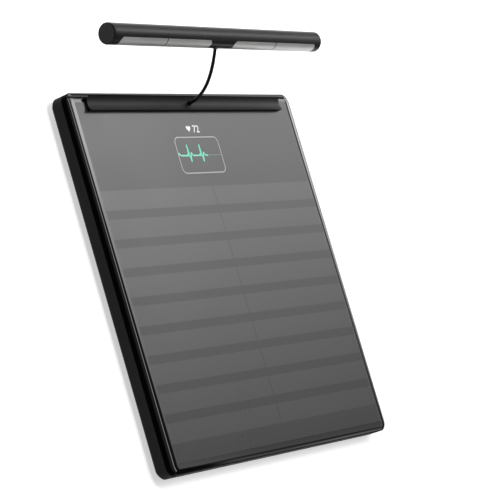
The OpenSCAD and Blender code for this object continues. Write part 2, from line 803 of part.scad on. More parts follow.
// Screws from below through the tray into the mid frame
module frame_screws() {
    z = under_z + screw_sink - screw_head_h;
    color("#6e7074") at_platform() for (b = boss_at)
        translate([b[0], b[1], z]) screw(wall_top_z + 1.5 - z, screw_head_r, screw_head_h, screw_r);
}

// Screws of board, reel and pulley bracket, heads up
module inner_screws() {
    color("#8a8c90") at_platform() {
        for (b = board_bosses) translate([b[0], b[1], board_z + board_t + 1.2]) rotate([180, 0, 0])
            screw(4.6, 2.2, 1.2, screw_r - 0.05);
        for (a = [30, 150, 270]) translate([reel_x, reel_y, 0]) rotate(a)
            translate([case_r + 4, 0, floor_z + 5]) rotate([180, 0, 0]) screw(5, 2, 1, screw_r - 0.05);
        for (s = [-1, 1]) translate([s * 9, pulley_y, floor_z + 2.4]) rotate([180, 0, 0])
            screw(2.4, 2, 1, screw_r - 0.05);
    }
}

// Button in the rear wall: a domed cap with a collar behind the wall
module setup_button() {
    out = plate_w / 2 + button_travel - 0.05;
    color("#4c4c4f") at_platform() translate([button_x, 0, button_z]) rotate([-90, 0, 0])
        rotate_extrude($fn = 48) polygon([
            [0, collar_y], [button_r + 0.8, collar_y], [button_r + 0.8, collar_y + collar_t],
            [button_r, collar_y + collar_t], [button_r, out - 0.45], [button_r - 0.5, out - 0.15], [0, out]
        ]);
}

module switch_plunger() {
    color("#c9b27a") at_platform()
    translate([button_x, switch_face_y - plunger_in, button_z]) rotate([-90, 0, 0])
        cylinder(h = collar_y - switch_face_y + plunger_in, r = plunger_r, $fn = 32);
}

// Free cord, from the dock's outlet to the handle
module cord() {
    color("#121212") at_platform() tube(cord_points, cord_r, 8, [1, 0, 0], first_way = [0, 0, 1],
        last_way = [0, sin(handle_turn), cos(handle_turn)]);
}

// Handle's own frame: docked, its cord leaves downwards
module at_handle() {
    at_platform() translate([0, handle_y, top_z + handle_up]) rotate([-handle_turn, 0, 0]) children();
}

// A stretch of shell round the handle's axis, centred on the cord's side
module shell(x0, x1, r_in, r_out, half_angle) {
    rotate([0, 90, 0]) rotate([0, 0, -half_angle]) rotate_extrude(angle = 2 * half_angle, $fn = 96)
        translate([r_in, x0]) square([r_out - r_in, x1 - x0]);
}

// What is taken off a shell's corner to round it. The round meets both edges at a slight angle
module corner_cut(x_end, way, side) {
    lean = wrap - shell_round / handle_r * 180 / PI;
    inset = 0.97 * shell_round;
    rotate([side * lean, 0, 0]) translate([x_end - way * inset, 0, -handle_r - 2]) difference() {
        translate([way > 0 ? 0 : -shell_round - 2, side > 0 ? 0 : -shell_round - 3, 0])
            cube([shell_round + 2, shell_round + 3, 7]);
        translate([0, 0, -1]) cylinder(h = 9, r = shell_round, $fn = 48);
    }
}

// Electrode k of 1 to 4 from the left, with corners rounded where no neighbour meets it
module electrode_shape(k, grow, r_in, r_out) {
    seam_at = (pair_start + pair_end) / 2;
    spans = [
        [-pair_end, -seam_at - pair_seam / 2], [-seam_at + pair_seam / 2, -pair_start],
        [pair_start, seam_at - pair_seam / 2], [seam_at + pair_seam / 2, pair_end]
    ];
    s = spans[k - 1];
    round_way = k % 2 == 1 ? -1 : 1;
    round_x = round_way < 0 ? s[0] - grow : s[1] + grow;
    difference() {
        shell(s[0] - grow, s[1] + grow, r_in, r_out, wrap + grow / handle_r * 180 / PI);
        for (side = [-1, 1]) corner_cut(round_x, round_way, side);
    }
}

module handle_electrode(k) {
    color("#b8b8b6") at_handle() electrode_shape(k, 0, handle_r - shell_t, handle_r);
}

module handle_tube() {
    half = handle_len / 2 - cap_t;
    color("#232325") at_handle() difference() {
        rotate([0, 90, 0]) cylinder(h = 2 * half, r = handle_r, center = true, $fn = 96);
        rotate([0, 90, 0]) cylinder(h = 2 * half + 2, r = handle_r - tube_wall, center = true, $fn = 96);
        for (k = [1 : 4]) electrode_shape(k, pocket_gap, handle_r - shell_t, handle_r + 1);
        translate([0, 0, -handle_r - 1]) cylinder(h = 4, r = boot_r, $fn = 40);
    }
}

// End cap with a rounded rim, a fine groove where it meets the tube, and a plug
module handle_cap(way) {
    plug_r = handle_r - tube_wall;
    x0 = handle_len / 2 - cap_t;
    arc = [for (k = [0 : 5])
        [handle_r - cap_round * (1 - cos(18 * k)), x0 + cap_t - cap_round * (1 - sin(18 * k))]];
    color("#29292b") at_handle() rotate([0, way * 90, 0]) rotate_extrude($fn = 96) polygon(concat(
        [[0, x0 - plug_len + 3], [plug_r - 2, x0 - plug_len + 3], [plug_r - 2, x0 - plug_len],
         [plug_r - 0.3, x0 - plug_len], [plug_r, x0 - plug_len + 1], [plug_r, x0],
         [handle_r - cap_groove, x0], [handle_r - cap_groove, x0 + cap_groove], [handle_r, x0 + cap_groove]],
        arc, [[0, x0 + cap_t]]
    ));
}

// Half-round chassis inside the tube
module handle_core() {
    r = handle_r - tube_wall - 0.1;
    color("#303032") at_handle() difference() {
        rotate([0, 90, 0]) cylinder(h = core_len, r = r, center = true, $fn = 64);
        translate([-core_len, -20, 0]) cube([2 * core_len, 40, 20]);
        for (i = [-5 : 5]) if (i != 0) translate([i * 24, 0, -1.5]) cube([18, 8, 3.1], center = true);
        translate([0, 0, -r - 1]) cylinder(h = r + 4, r = boot_r + 0.1, $fn = 40);
        translate([0, 0, -barrel_at]) rotate([0, 90, 0])
            cylinder(h = barrel_len + 0.6, r = barrel_r + 0.3, center = true, $fn = 48);
    }
}

module handle_board() {
    color("#0f4d33") at_handle() {
        translate([-75, -6, 0]) cube([150, 12, 1.2]);
        translate([-40, -3, 1.1]) cube([9, 6, 1.4]);
        translate([28, -3, 1.1]) cube([7, 6, 1.1]);
        for (s = [-1, 1], x = [52, 68]) translate([s * x - 2, -4, 1.1]) cube([4, 8, 1.6]);
    }
}

// Steel barrel crimped on the cord's end: it takes the pull, and the handle swivels round it
module cord_barrel() {
    half = barrel_len / 2;
    color("#8a8c90") at_handle() translate([0, 0, -barrel_at]) rotate([0, 90, 0])
    rotate_extrude($fn = 48) polygon([
        [0, -half], [barrel_r - 0.4, -half], [barrel_r, 0.4 - half], [barrel_r, -2], [barrel_r - 0.4, -1.6],
        [barrel_r - 0.4, 1.6], [barrel_r, 2], [barrel_r, half - 0.4], [barrel_r - 0.4, half], [0, half]
    ]);
}

// Soft bush where the cord enters the handle
module cord_boot() {
    top = barrel_at + barrel_r + 0.5;
    color("#151515") at_handle() rotate([180, 0, 0]) rotate_extrude($fn = 48) polygon([
        [0, top], [boot_r - 0.6, top], [boot_r, top + 0.6], [boot_r, handle_r - 0.3],
        [boot_r - 0.4, handle_r + boot_proud], [0, handle_r + boot_proud]
    ]);
}

base_tray();
mid_frame();
glass_tape();
glass_plate();
electrodes_left();
electrodes_right();
electrode_flex();
handle_dock();
cord_grommet();
display_module();
display_flex();
main_board();
battery_pack();
battery_lead();
side_board();
charging_port();
button_switch();
load_cell([-1, -1]);  // load_cell_front_left
load_cell([1, -1]);  // load_cell_front_right
load_cell([-1, 1]);  // load_cell_rear_left
load_cell([1, 1]);  // load_cell_rear_right
cell_brackets();
cell_leads();
foot([-1, -1]);  // foot_front_left
foot([1, -1]);  // foot_front_right
foot([-1, 1]);  // foot_rear_left
foot([1, 1]);  // foot_rear_right
foot_pad([-1, -1]);  // pad_front_left
foot_pad([1, -1]);  // pad_front_right
foot_pad([-1, 1]);  // pad_rear_left
foot_pad([1, 1]);  // pad_rear_right
reel_case();
reel_cover();
reel_spring();
reel_axle();
pulley_bracket();
pulley_pin();
inner_cord();
frame_screws();
inner_screws();
reel_drum();
reel_winding();
guide_pulley();
setup_button();
switch_plunger();
cord();
handle_tube();
handle_cap(-1);  // handle_cap_left
handle_cap(1);  // handle_cap_right
handle_electrode(1);  // handle_electrode_1
handle_electrode(2);  // handle_electrode_2
handle_electrode(3);  // handle_electrode_3
handle_electrode(4);  // handle_electrode_4
handle_core();
handle_board();
cord_barrel();
cord_boot();
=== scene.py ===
"""Finishes, display, cord and studio for a smart bathroom scale with a sensing handle on a cord.

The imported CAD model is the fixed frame, and everything here is made around it, in metres.
"""

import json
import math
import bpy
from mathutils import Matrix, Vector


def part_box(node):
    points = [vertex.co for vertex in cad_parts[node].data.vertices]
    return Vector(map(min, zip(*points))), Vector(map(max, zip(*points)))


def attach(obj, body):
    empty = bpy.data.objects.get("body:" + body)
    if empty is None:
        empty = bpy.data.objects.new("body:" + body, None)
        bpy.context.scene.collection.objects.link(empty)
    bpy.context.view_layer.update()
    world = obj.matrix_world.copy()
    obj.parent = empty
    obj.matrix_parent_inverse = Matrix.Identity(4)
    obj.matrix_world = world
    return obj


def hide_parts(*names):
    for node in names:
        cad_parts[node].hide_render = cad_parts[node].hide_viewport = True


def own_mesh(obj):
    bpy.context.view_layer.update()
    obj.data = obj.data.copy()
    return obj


bl_info = {
    "name": "Smart bathroom scale",
    "version": (1, 0, 0),
    "blender": (4, 5, 0),
    "location": "3D View > Sidebar > Scale",
    "description": "Cord, display and finishes of a glass bathroom scale, and its studio",
    "category": "Object",
}

import bpy
from mathutils import Quaternion, Vector

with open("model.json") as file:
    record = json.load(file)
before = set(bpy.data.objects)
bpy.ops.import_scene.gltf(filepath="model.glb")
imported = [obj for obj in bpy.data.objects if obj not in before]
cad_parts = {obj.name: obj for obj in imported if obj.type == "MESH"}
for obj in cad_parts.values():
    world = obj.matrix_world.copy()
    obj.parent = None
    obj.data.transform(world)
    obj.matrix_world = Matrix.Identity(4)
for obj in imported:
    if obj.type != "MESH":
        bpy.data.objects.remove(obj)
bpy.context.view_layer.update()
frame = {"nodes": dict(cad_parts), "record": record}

MM = 0.001
PLATE_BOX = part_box("glass_plate")
GLASS_TOP = PLATE_BOX[1].z
PLATE_MIDDLE = (PLATE_BOX[0] + PLATE_BOX[1]) / 2

# A facet of the glass is level if its normal's height is over FLAT, and else is rim over STEEP
FLAT = 0.9999
STEEP = 0.6

# Nearly all of a noise texture lies between these values
NOISE_SPAN = (0.3, 0.7)

# The photograph's camera, in metres and degrees, and its lens and sensor in millimetres
CAMERA_AT = Vector((-1.6170, -0.2798, 1.1519))
CAMERA_AIM = Vector((0.0301, -0.0043, 0.0235))
CAMERA_ROLL = 68.2336
CAMERA_LENS = 164.75
CAMERA_SENSOR = 36.0

# The free cord's way in millimetres: (place behind the platform's middle, height above the glass)
CORD_ROUTE = [
    (152.55, 1.9), (152.8, 5.8), (153.4, 9.7), (154.5, 13.5), (156.0, 17.1), (157.8, 20.6),
    (160.0, 23.8), (162.5, 26.9), (165.2, 29.7), (168.2, 32.4), (171.2, 34.9), (174.4, 37.2),
    (177.6, 39.4), (181.0, 41.4), (184.3, 43.4), (187.70, 45.237),
]
# Points of the tube for each stretch between two of those places
CORD_STEPS = 2


class CordSettings(bpy.types.PropertyGroup):
    diameter: bpy.props.FloatProperty(
        name="Diameter", description="Thickness of the cord", default=3.0 * MM, min=2.0 * MM,
        max=4.0 * MM, subtype="DISTANCE", unit="LENGTH")
    colour: bpy.props.FloatVectorProperty(
        name="Jacket", description="Colour of the cord's jacket", default=(0.006, 0.006, 0.006),
        size=3, min=0, max=1, subtype="COLOR")


class DisplaySettings(bpy.types.PropertyGroup):
    width: bpy.props.FloatProperty(
        name="Width", description="Width of the frame round the trace", default=64.3 * MM,
        subtype="DISTANCE", unit="LENGTH")
    depth: bpy.props.FloatProperty(
        name="Depth", description="Front to back size of the frame round the trace",
        default=33.8 * MM, subtype="DISTANCE", unit="LENGTH")
    corner: bpy.props.FloatProperty(
        name="Corner", description="Radius of the frame's corners", default=6.0 * MM,
        subtype="DISTANCE", unit="LENGTH")
    line: bpy.props.FloatProperty(
        name="Line", description="Thickness of the frame's line", default=0.95 * MM,
        subtype="DISTANCE", unit="LENGTH")
    frame_colour: bpy.props.FloatVectorProperty(
        name="Frame", description="Light of the frame", default=(0.34, 0.34, 0.34), size=3, min=0,
        max=1, subtype="COLOR")
    trace_colour: bpy.props.FloatVectorProperty(
        name="Trace", description="Light of the pulse trace", default=(0.15, 0.72, 0.50), size=3,
        min=0, max=1, subtype="COLOR")
    rest_colour: bpy.props.FloatVectorProperty(
        name="Rest", description="Light of the line after the trace", default=(0.12, 0.16, 0.15),
        size=3, min=0, max=1, subtype="COLOR")
    digit_colour: bpy.props.FloatVectorProperty(
        name="Digits", description="Light of the digits", default=(0.75, 0.75, 0.75), size=3,
        min=0, max=1, subtype="COLOR")


class FinishSettings(bpy.types.PropertyGroup):
    glass: bpy.props.FloatVectorProperty(
        name="Glass", description="Colour behind the glass", default=(0.010, 0.010, 0.011),
        size=3, min=0, max=1, subtype="COLOR")
    face_roughness: bpy.props.FloatProperty(
        name="Face", description="Roughness of the glass's face", default=0.30, min=0, max=1,
        subtype="FACTOR")
    rim_roughness: bpy.props.FloatProperty(
        name="Rim", description="Roughness of the glass's polished rim", default=0.03, min=0,
        max=1, subtype="FACTOR")
    strips: bpy.props.FloatVectorProperty(
        name="Strips", description="Colour under the strips' coating",
        default=(0.016, 0.016, 0.017), size=3, min=0, max=1, subtype="COLOR")
    strip_roughness: bpy.props.FloatProperty(
        name="Coating", description="Roughness of the strips' coating", default=0.30, min=0,
        max=1, subtype="FACTOR")
    base: bpy.props.FloatVectorProperty(
        name="Base", description="Colour of the matt base", default=(0.018, 0.018, 0.0185),
        size=3, min=0, max=1, subtype="COLOR")
    handle: bpy.props.FloatVectorProperty(
        name="Handle", description="Colour of the handle's plastic",
        default=(0.007, 0.007, 0.0073), size=3, min=0, max=1, subtype="COLOR")
    steel: bpy.props.FloatVectorProperty(
        name="Electrodes", description="Colour of the handle's steel electrodes",
        default=(0.68, 0.68, 0.67), size=3, min=0, max=1, subtype="COLOR")


class StudioSettings(bpy.types.PropertyGroup):
    floor: bpy.props.FloatVectorProperty(
        name="Floor", description="Colour of the floor", default=(0.60, 0.60, 0.60), size=3,
        min=0, max=1, subtype="COLOR")
    glow: bpy.props.FloatProperty(
        name="Glow", description="Level of the floor's own light near the part", default=0.56,
        min=0)
    lamp: bpy.props.FloatProperty(
        name="Soft box", description="Power of the soft box overhead", default=8.6, min=0,
        unit="POWER")
    key: bpy.props.FloatProperty(
        name="Key", description="Power of the narrow lamp overhead", default=17.5, min=0,
        unit="POWER")
    sky: bpy.props.FloatProperty(
        name="Surround", description="Level of the light from all round", default=0.17, min=0,
        max=1)
    top: bpy.props.FloatProperty(
        name="Top", description="Level of the card overhead that the left rim mirrors",
        default=1.0, min=0)
    card: bpy.props.FloatProperty(
        name="Card", description="Strength of the graded card that the glass mirrors",
        default=1.0, min=0)


# Small helpers

def nothing_selected():
    """Leaves Edit Mode and deselects everything."""
    if bpy.context.object and bpy.context.object.mode != "OBJECT":
        bpy.ops.object.mode_set(mode="OBJECT")
    bpy.ops.object.select_all(action="DESELECT")


def only(obj):
    """Selects one object and makes it the active one."""
    nothing_selected()
    obj.select_set(True)
    bpy.context.view_layer.objects.active = obj


def settle(obj):
    """Puts a piece's place, turn and size into its mesh."""
    only(obj)
    bpy.ops.object.transform_apply(location=True, rotation=True, scale=True)


def platform(x, y, above=0.0):
    """A point on the glass, in millimetres from the platform's middle."""
    return Vector((PLATE_MIDDLE.x + x * MM, PLATE_MIDDLE.y + y * MM, GLASS_TOP + above * MM))


def smooth(obj, degrees=30.0):
    """Shades a piece smooth across edges that bend by less than an angle."""
    only(obj)
    bpy.ops.object.shade_smooth_by_angle(angle=math.radians(degrees))


def tube(name, points, diameter, resolution, twist="MINIMUM"):
    """A round tube with closed ends through points, as a mesh."""
    nothing_selected()
    bpy.ops.curve.primitive_bezier_curve_add(location=(0, 0, 0))
    drawn = bpy.context.object
    drawn.name = name
    curve = drawn.data
    curve.splines.clear()
    line = curve.splines.new("POLY")
    line.points.add(len(points) - 1)
    for point, place in zip(line.points, points):
        point.co = (*place, 1.0)
    curve.dimensions = "3D"
    curve.twist_mode = twist
    curve.bevel_depth = diameter / 2
    curve.bevel_resolution = resolution
    curve.use_fill_caps = True
    only(drawn)
    bpy.ops.object.convert(target="MESH")
    return bpy.context.object


# Node groups

def new_group(name, colour, **levels):
    """A group from a place, a colour and levels to a colour, a roughness and a height."""
    group = bpy.data.node_groups.new(name, "ShaderNodeTree")
    new = group.interface.new_socket
    new(name="Vector", in_out="INPUT", socket_type="NodeSocketVector")
    socket = new(name="Colour", in_out="INPUT", socket_type="NodeSocketColor")
    socket.default_value = (*colour, 1.0)
    for label, level in levels.items():
        socket = new(name=spoken(label), in_out="INPUT", socket_type="NodeSocketFloat")
        socket.default_value = level
    new(name="Colour", in_out="OUTPUT", socket_type="NodeSocketColor")
    for label in ("Roughness", "Height"):
        new(name=label, in_out="OUTPUT", socket_type="NodeSocketFloat")
    return group, group.nodes.new("NodeGroupInput"), group.nodes.new("NodeGroupOutput")


def spoken(label):
    """The name on a group's socket, from the keyword that sets it."""
    return label.replace("_", " ").capitalize()


def node(tree, kind, links=None, **values):
    """A node with its settings, its input values, and links to its inputs by name or number."""
    made = tree.nodes.new(kind)
    for key, value in values.items():
        setattr(made, key, value)
    for socket, source in (links or {}).items():
        if isinstance(source, bpy.types.NodeSocket):
            tree.links.new(source, made.inputs[socket])
        else:
            made.inputs[socket].default_value = source
    return made


def maths(tree, operation, a, b, c=0.0):
    """What a maths node makes of sockets or numbers. MULTIPLY_ADD is a times b plus c."""
    return node(tree, "ShaderNodeMath", {0: a, 1: b, 2: c}, operation=operation).outputs[0]


def ramp(tree, value, start, end, low, high, way="LINEAR"):
    """A level that goes from low to high while a value goes from start to end, and stays there."""
    ends = {"From Min": start, "From Max": end, "To Min": low, "To Max": high}
    made = node(tree, "ShaderNodeMapRange", {"Value": value, **ends}, interpolation_type=way)
    return made.outputs["Result"]


def scaled(tree, colour, factor):
    """A colour times a factor."""
    made = node(tree, "ShaderNodeVectorMath", {0: colour, "Scale": factor}, operation="SCALE")
    return made.outputs["Vector"]


def noise(tree, place, size, detail, low=-1.0, high=1.0):
    """Noise at a place, twice: spread over low to high, and as the texture gives it."""
    made = node(tree, "ShaderNodeTexNoise", {"Vector": place, "Scale": size, "Detail": detail})
    return ramp(tree, made.outputs["Fac"], *NOISE_SPAN, low, high), made.outputs["Fac"]


def vary(tree, given, made, tone, sheen, height):
    """Gives out a group's colour varied by tone, its roughness varied by sheen, and its height."""
    factor = maths(tree, "MULTIPLY_ADD", tone, given.outputs["Colour spread"], 1.0)
    rough = maths(tree, "MULTIPLY_ADD", sheen, given.outputs["Roughness spread"],
                  given.outputs["Roughness"])
    tree.links.new(scaled(tree, given.outputs["Colour"], factor), made.inputs["Colour"])
    tree.links.new(rough, made.inputs["Roughness"])
    tree.links.new(height, made.inputs["Height"])
    return tree


def moulded_grain():
    """Fine sparked texture of moulded plastic, with a slow unevenness of its colour and sheen."""
    tree, given, made = new_group("moulded_grain", (0.02, 0.02, 0.02), Grain_size=1500.0,
                                  Roughness=0.5, Roughness_spread=0.05, Colour_spread=0.06)
    grain, height = noise(tree, given.outputs["Vector"], given.outputs["Grain size"], 3.0)
    slow, _ = noise(tree, given.outputs["Vector"], 22.0, 4.0)
    mix = maths(tree, "ADD", maths(tree, "MULTIPLY", slow, 0.6),
                maths(tree, "MULTIPLY", grain, 0.4))
    return vary(tree, given, made, mix, mix, height)


def brushed_metal():
    """Long fine scratches along the X axis, for brushed or drawn metal."""
    tree, given, made = new_group("brushed_metal", (0.6, 0.6, 0.6), Roughness=0.3,
                                  Roughness_spread=0.08, Colour_spread=0.06)
    drawn = node(tree, "ShaderNodeMapping", {"Vector": given.outputs["Vector"],
                                             "Scale": (30.0, 2400.0, 2400.0)})
    lines, height = noise(tree, drawn.outputs["Vector"], 1.0, 4.0)
    cloud, _ = noise(tree, given.outputs["Vector"], 35.0, 2.0, -0.5, 0.5)
    mix = maths(tree, "ADD", lines, cloud)
    return vary(tree, given, made, mix, mix, height)


def handled_gloss():
    """Faint haze of handling on glass and gloss plastic: broad soft clouds and thin dust."""
    tree, given, made = new_group("handled_gloss", (0.01, 0.01, 0.01), Roughness=0.08,
                                  Roughness_spread=0.03, Colour_spread=0.10)
    cloud, height = noise(tree, given.outputs["Vector"], 14.0, 5.0)
    dust, _ = noise(tree, given.outputs["Vector"], 2600.0, 1.0)
    return vary(tree, given, made, dust, cloud, height)


# Materials

def finish(name, group, colour, roughness, bump=0.0, bump_distance=0.02 * MM, shader=None,
           **values):
    """A Principled material with one group, which is made once; values are for the group."""
    made = bpy.data.materials.new(name)
    made.use_nodes = True
    tree = made.node_tree
    bsdf = tree.nodes["Principled BSDF"]
    skin = node(tree, "ShaderNodeGroup",
                node_tree=bpy.data.node_groups.get(group.__name__) or group())
    place = node(tree, "ShaderNodeTexCoord").outputs["Object"]
    tree.links.new(place, skin.inputs["Vector"])
    skin.inputs["Colour"].default_value = (*colour, 1.0)
    skin.inputs["Roughness"].default_value = roughness
    for key, value in values.items():
        skin.inputs[spoken(key)].default_value = value
    tree.links.new(skin.outputs["Colour"], bsdf.inputs["Base Color"])
    tree.links.new(skin.outputs["Roughness"], bsdf.inputs["Roughness"])
    if bump:
        relief = node(tree, "ShaderNodeBump", {"Height": skin.outputs["Height"], "Strength": bump,
                                               "Distance": bump_distance})
        tree.links.new(relief.outputs["Normal"], bsdf.inputs["Normal"])
    for key, value in (shader or {}).items():
        bsdf.inputs[key].default_value = value
    return made


def emptied(name):
    """A new material, its nodes and the place on the piece, ready for a shader."""
    made = bpy.data.materials.new(name)
    made.use_nodes = True
    tree = made.node_tree
    tree.nodes.clear()
    return made, tree, node(tree, "ShaderNodeTexCoord").outputs["Object"]


def dress(obj, *materials):
    """Gives a piece these materials in place of its own."""
    obj.data.materials.clear()
    for material in materials:
        obj.data.materials.append(material)


class SCALE_OT_camera(bpy.types.Operator):
    """Sets the camera where the photograph was taken"""
    bl_idname = "scale.camera"
    bl_label = "Camera"

    def execute(self, context):
        nothing_selected()
        look = (CAMERA_AIM - CAMERA_AT).to_track_quat("-Z", "Y")
        turn = look @ Quaternion((0, 0, 1), math.radians(CAMERA_ROLL))
        bpy.ops.object.camera_add(location=CAMERA_AT, rotation=turn.to_euler())
        camera = context.object
        camera.name = "photo_camera"
        camera.data.lens = CAMERA_LENS
        camera.data.sensor_width = CAMERA_SENSOR
        camera.data.clip_start = 0.05
        camera.data.clip_end = 50.0
        context.scene.camera = camera
        return {"FINISHED"}


class SCALE_OT_cord(bpy.types.Operator):
    """Makes the free cord between the dock's outlet and the handle"""
    bl_idname = "scale.cord"
    bl_label = "Cord"

    def route(self):
        """Points of a curve that goes smoothly through every place of the route."""
        knots = [platform(0, y, up) for y, up in CORD_ROUTE]
        points = []
        for i in range(len(knots) - 1):
            before, start = knots[max(i - 1, 0)], knots[i]
            end, after = knots[i + 1], knots[min(i + 2, len(knots) - 1)]
            for k in range(CORD_STEPS):
                t = k / CORD_STEPS
                points.append(0.5 * (2 * start + (end - before) * t
                                     + (2 * before - 5 * start + 4 * end - after) * t ** 2
                                     + (3 * start - before - 3 * end + after) * t ** 3))
        return points + [knots[-1]]

    def execute(self, context):
        settings = context.scene.scale_cord
        points = self.route()
        cord = tube("free_cord", points, settings.diameter, resolution=6)
        smooth(cord, degrees=50)
        dress(cord, finish("cord_jacket", moulded_grain, settings.colour, 0.42, bump=0.3,
                           shader={"Specular IOR Level": 0.08}, Grain_size=2200.0))
        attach(cord, "base")
        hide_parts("cord")
        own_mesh(cord)
        return {"FINISHED"}


class SCALE_OT_display(bpy.types.Operator):
    """Draws the lit frame, pulse trace, heart and digits of the display"""
    bl_idname = "scale.display"
    bl_label = "Display"

    # All of these are in millimetres. Each mark's height above the glass, and its thickness
    above = 0.03
    thick = 0.03
    # Places from the platform's middle, and sizes
    frame_middle = (-1.95, 105.9)
    digits_at = (-2.4, 126.8)
    digits_size = 9.2
    heart_at = (-8.4, 130.4)
    heart_width = 6.4
    trace_width = 1.35
    rest_width = 0.9
    # How far the trace's level is above the frame's middle
    trace_level = -0.4
    # From the frame's left side and that level: the trace's start, where beats begin, and its end
    trace_start = [(0.4, 0.6), (1.4, 2.2), (3.2, 0.2)]
    beats = (10.0, 28.0)
    trace_end = 43.0
    # One beat: a soft bump, a tall spike, a dip and a second bump
    beat_shape = [(0, 0), (2.6, 0), (3.4, 1.2), (4.4, -0.6), (5.3, 9.8), (6.9, -5.6), (7.9, 0),
                  (9.3, 2.6), (11.0, 0.2), (11.8, 0)]
    # Gap between the trace and the line after it, and between that and the frame
    gap = 0.3

    def lit(self, name, colour):
        """A material that glows in one colour, with the fine grain of a display's cells."""
        made = finish(name, handled_gloss, (0.004, 0.004, 0.004), 0.12, Colour_spread=0.1)
        tree = made.node_tree
        bsdf = tree.nodes["Principled BSDF"]
        place = node(tree, "ShaderNodeTexCoord").outputs["Object"]
        cells, _ = noise(tree, place, 900.0, 1.0, 0.94, 1.06)
        tree.links.new(scaled(tree, tuple(colour), cells), bsdf.inputs["Emission Color"])
        bsdf.inputs["Emission Strength"].default_value = 1.0
        return made

    def place(self, obj, material):
        """Ends a mark: at the origin, dressed, and riding on the base as a part of the display."""
        settle(obj)
        dress(obj, material)
        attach(obj, "base")

    def thicken(self):
        """Gives the flat mark that is in Edit Mode its thickness, and leaves Edit Mode."""
        bpy.ops.mesh.select_all(action="SELECT")
        bpy.ops.mesh.extrude_region_move(TRANSFORM_OT_translate={"value": (0, 0, self.thick * MM)})
        bpy.ops.mesh.select_all(action="SELECT")
        bpy.ops.mesh.normals_make_consistent(inside=False)
        bpy.ops.object.mode_set(mode="OBJECT")

    def outline(self, context, settings, middle):
        """The rounded frame round the trace."""
        nothing_selected()
        bpy.ops.mesh.primitive_plane_add(size=1, location=middle)
        ring = context.object
        ring.name = "display_frame"
        ring.scale = (settings.width, settings.depth, 1)
        settle(ring)
        bpy.ops.object.mode_set(mode="EDIT")
        bpy.ops.mesh.select_all(action="SELECT")
        bpy.ops.mesh.bevel(offset=settings.corner, offset_type="OFFSET", segments=10,
                           affect="VERTICES")
        bpy.ops.mesh.select_all(action="SELECT")
        bpy.ops.mesh.inset(thickness=settings.line)
        bpy.ops.mesh.delete(type="FACE")
        self.thicken()
        self.place(ring, self.lit("lit_frame", settings.frame_colour))

    def stroke(self, name, places, width, material):
        """A flat line through places, with a point close before and after each of its corners."""
        places = [Vector((x, y)) for x, y in places]
        points = [places[0]]
        for before, corner, after in zip(places, places[1:], places[2:]):
            points += [corner + near * (end - corner).normalized()
                       for end, near in ((before, width / 8), (corner, 0), (after, width / 8))]
        points.append(places[-1])
        drawn = tube(name, [(x * MM, y * MM, 0) for x, y in points], width * MM, resolution=2,
                     twist="Z_UP")
        drawn.scale = (1, 1, self.thick / width)
        drawn.location = platform(0, 0, self.above + self.thick / 2)
        self.place(drawn, material)

    def trace(self, settings):
        """The pulse trace, and the pale line after it."""
        half = (settings.width - settings.line) / MM / 2
        left, right = self.frame_middle[0] - half, self.frame_middle[0] + half
        level = self.frame_middle[1] + self.trace_level
        first, second = ([(start + x, y) for x, y in self.beat_shape] for start in self.beats)
        points = self.trace_start + first + second[1:] + [(self.trace_end, 0)]
        self.stroke("pulse_trace", [(left + x, level + y) for x, y in points], self.trace_width,
                    self.lit("lit_trace", settings.trace_colour))
        rest = [(left + self.trace_end + self.gap, level), (right - self.gap, level)]
        self.stroke("rest_line", rest, self.rest_width,
                    self.lit("lit_rest_line", settings.rest_colour))

    def digits(self, context, white):
        """The digits above the frame."""
        nothing_selected()
        bpy.ops.object.text_add(location=(0, 0, 0))
        number = context.object
        number.name = "weight_digits"
        number.data.body = "72"
        number.data.size = self.digits_size * MM
        number.data.offset = 0.12 * MM
        number.data.extrude = self.thick * MM / 2
        number.data.space_character = 1.08
        only(number)
        bpy.ops.object.convert(target="MESH")
        number = context.object
        number.location = platform(*self.digits_at, self.above + self.thick / 2)
        self.place(number, white)

    def heart(self, context, white):
        """The heart beside the digits, on a curve that is 32 units wide."""
        points = 48
        size = self.heart_width * MM / 32
        nothing_selected()
        bpy.ops.mesh.primitive_circle_add(vertices=points, radius=1, fill_type="NGON",
                                          location=(0, 0, 0))
        heart = context.object
        heart.name = "pulse_heart"
        for i, v in enumerate(heart.data.vertices):
            t = 2 * math.pi * i / points
            v.co.x = size * 16 * math.sin(t) ** 3
            v.co.y = size * (13 * math.cos(t) - 5 * math.cos(2 * t) - 2 * math.cos(3 * t)
                             - math.cos(4 * t))
        bpy.ops.object.mode_set(mode="EDIT")
        self.thicken()
        heart.location = platform(*self.heart_at, self.above)
        self.place(heart, white)

    def execute(self, context):
        settings = context.scene.scale_display
        self.outline(context, settings, platform(*self.frame_middle, self.above))
        self.trace(settings)
        white = self.lit("lit_digits", settings.digit_colour)
        self.digits(context, white)
        self.heart(context, white)
        return {"FINISHED"}


